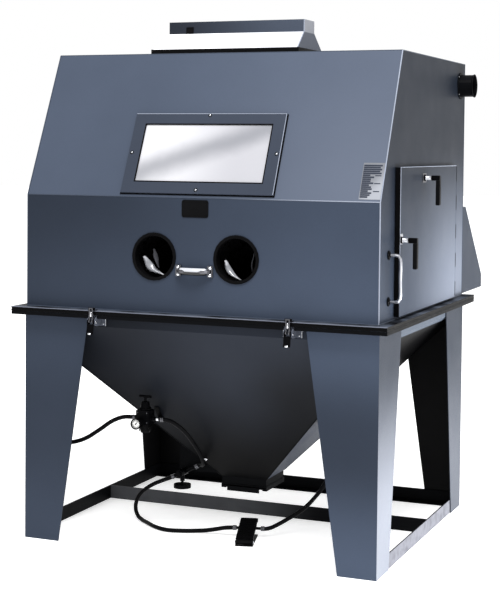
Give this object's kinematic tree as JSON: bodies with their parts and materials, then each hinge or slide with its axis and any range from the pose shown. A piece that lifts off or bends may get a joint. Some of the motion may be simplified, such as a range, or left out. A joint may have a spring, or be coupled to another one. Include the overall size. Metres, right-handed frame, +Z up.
{
  "type": "sandblast cabinet",
  "caption": "Floor-standing blast cabinet with a hinged steel hood, sloping window, gloved arm holes and side door over a pyramid hopper on sheet legs, with air regulator and foot pedal.",
  "frame": {"origin": "on the floor, under the centre of the whole object's bounding box", "axes": "+X to the operator's right, towards the side door; +Y to the rear, away from the operator; +Z up"},
  "size_m": [1.495, 1.5634, 1.9441],
  "materials": {
    "paint": "semi-gloss blue-grey enamel",
    "dark_paint": "satin black enamel",
    "rubber": "smooth black rubber",
    "chrome": "bright plated",
    "glass": "clear laminated pane with a milky film",
    "white": "gloss off-white enamel",
    "brass": "machined",
    "plastic": "black moulded"
  },
  "bodies": {
    "stand": {"leg_front_left": "paint", "leg_rear_left": "paint", "leg_front_right": "paint", "leg_rear_right": "paint", "rail_left": "dark_paint", "rail_right": "dark_paint", "rail_cross": "dark_paint", "rail_rear": "dark_paint", "hopper": "dark_paint", "frame_flange": "dark_paint", "work_grate": "dark_paint", "hopper_outlet": "dark_paint", "latch_base_left": "chrome", "latch_base_right": "chrome", "regulator_body": "chrome", "regulator_bowl": "plastic", "gauge_case": "plastic", "pedal_line_valve": "chrome", "air_inlet_fitting": "brass", "hopper_bulkhead": "brass", "pedal_base": "plastic", "blast_gun": "plastic", "hose_supply": "rubber", "hose_regulator": "rubber", "hose_pedal_in": "rubber", "hose_pedal_out": "rubber"},
    "hood": {"hood_flange": "dark_paint", "hood_seal": "rubber", "front_panel": "paint", "window_glass": "glass", "window_frame": "paint", "sloping_front": "paint", "roof_panel": "paint", "rear_panel": "paint", "side_panel_left": "paint", "side_panel_right": "paint", "light_housing": "white", "exhaust_spigot": "dark_paint", "air_inlet_hood": "paint", "arm_ring_left": "rubber", "arm_ring_right": "rubber", "glove_left": "rubber", "glove_right": "rubber", "lift_handle": "chrome", "pull_handle": "chrome", "door_hinge": "paint"},
    "door": {"door_panel": "paint"},
    "door_lever_top": {"door_lever_top": "plastic"},
    "door_lever_front": {"door_lever_front": "plastic"},
    "left_latch_lever": {"latch_lever_left": "chrome"},
    "left_latch_hook": {"latch_hook_left": "chrome"},
    "right_latch_lever": {"latch_lever_right": "chrome"},
    "right_latch_hook": {"latch_hook_right": "chrome"},
    "regulator_knob": {"regulator_knob": "chrome"},
    "gauge_needle": {"gauge_needle": "plastic"},
    "valve_handle": {"valve_handle": "chrome"},
    "slide_gate": {"slide_gate": "dark_paint"},
    "pedal_treadle": {"pedal_treadle": "plastic"},
    "pedal_plunger": {"pedal_plunger": "chrome"},
    "light_switch": {"light_switch": "plastic"}
  },
  "joints": [
    {"name": "hood_hinge", "type": "hinge", "parent": "stand", "child": "hood", "pos_m": [-0.0185, 0.47885, 0.8662], "axis": [-1, 0, 0], "range_deg": [0, 55]},
    {"name": "door_swing", "type": "hinge", "parent": "hood", "child": "door", "pos_m": [0.6815, 0.24085, 1.147], "axis": [0, 0, 1], "range_deg": [0, 110]},
    {"name": "door_top_latch", "type": "hinge", "parent": "door", "child": "door_lever_top", "pos_m": [0.6875, -0.23915, 1.367], "axis": [1, 0, 0], "range_deg": [0, 90]},
    {"name": "door_front_latch", "type": "hinge", "parent": "door", "child": "door_lever_front", "pos_m": [0.6875, -0.53215, 1.154], "axis": [1, 0, 0], "range_deg": [0, 90]},
    {"name": "left_latch", "type": "hinge", "parent": "stand", "child": "left_latch_lever", "pos_m": [-0.4065, -0.75965, 0.832], "axis": [-1, 0, 0], "range_deg": [0, 110]},
    {"name": "left_latch_link", "type": "hinge", "parent": "left_latch_lever", "child": "left_latch_hook", "pos_m": [-0.4065, -0.76865, 0.836], "axis": [-1, 0, 0], "range_deg": [-137.5, 0]},
    {"name": "right_latch", "type": "hinge", "parent": "stand", "child": "right_latch_lever", "pos_m": [0.3575, -0.75965, 0.832], "axis": [-1, 0, 0], "range_deg": [0, 110]},
    {"name": "right_latch_link", "type": "hinge", "parent": "right_latch_lever", "child": "right_latch_hook", "pos_m": [0.3575, -0.76865, 0.836], "axis": [-1, 0, 0], "range_deg": [-137.5, 0]},
    {"name": "regulator_screw", "type": "hinge", "parent": "stand", "child": "regulator_knob", "pos_m": [-0.2985, -0.53915, 0.52], "axis": [0, 0, 1], "range_deg": [-720, 720]},
    {"name": "gauge_pointer", "type": "hinge", "parent": "stand", "child": "gauge_needle", "pos_m": [-0.3055, -0.59415, 0.44], "axis": [0, 1, 0], "range_deg": [-173, 97]},
    {"name": "valve_turn", "type": "hinge", "parent": "stand", "child": "valve_handle", "pos_m": [-0.2565, -0.29415, 0.15], "axis": [0, 0, 1], "range_deg": [0, 90]},
    {"name": "gate_slide", "type": "slide", "parent": "stand", "child": "slide_gate", "axis": [0, -1, 0], "range_m": [0, 0.15]},
    {"name": "pedal_press", "type": "hinge", "parent": "stand", "child": "pedal_treadle", "pos_m": [0.0914, -0.49585, 0.013], "axis": [-0.9659, -0.2588, 0], "range_deg": [0, 4], "stiffness_Nm_per_rad": 25, "springref_deg": -8.02},
    {"name": "plunger_travel", "type": "slide", "parent": "stand", "child": "pedal_plunger", "axis": [0, 0, -1], "range_m": [0, 0.0095]},
    {"name": "lamp_switch", "type": "hinge", "parent": "hood", "child": "light_switch", "pos_m": [-0.1915, -0.39215, 1.913], "axis": [1, 0, 0], "range_deg": [0, 12]}
  ],
  "couplings": [
    {"joint": "left_latch_link", "follows": "left_latch", "ratio": -1.25},
    {"joint": "right_latch_link", "follows": "right_latch", "ratio": -1.25},
    {"joint": "plunger_travel", "follows": "pedal_press", "m_per_rad": 0.125}
  ]
}
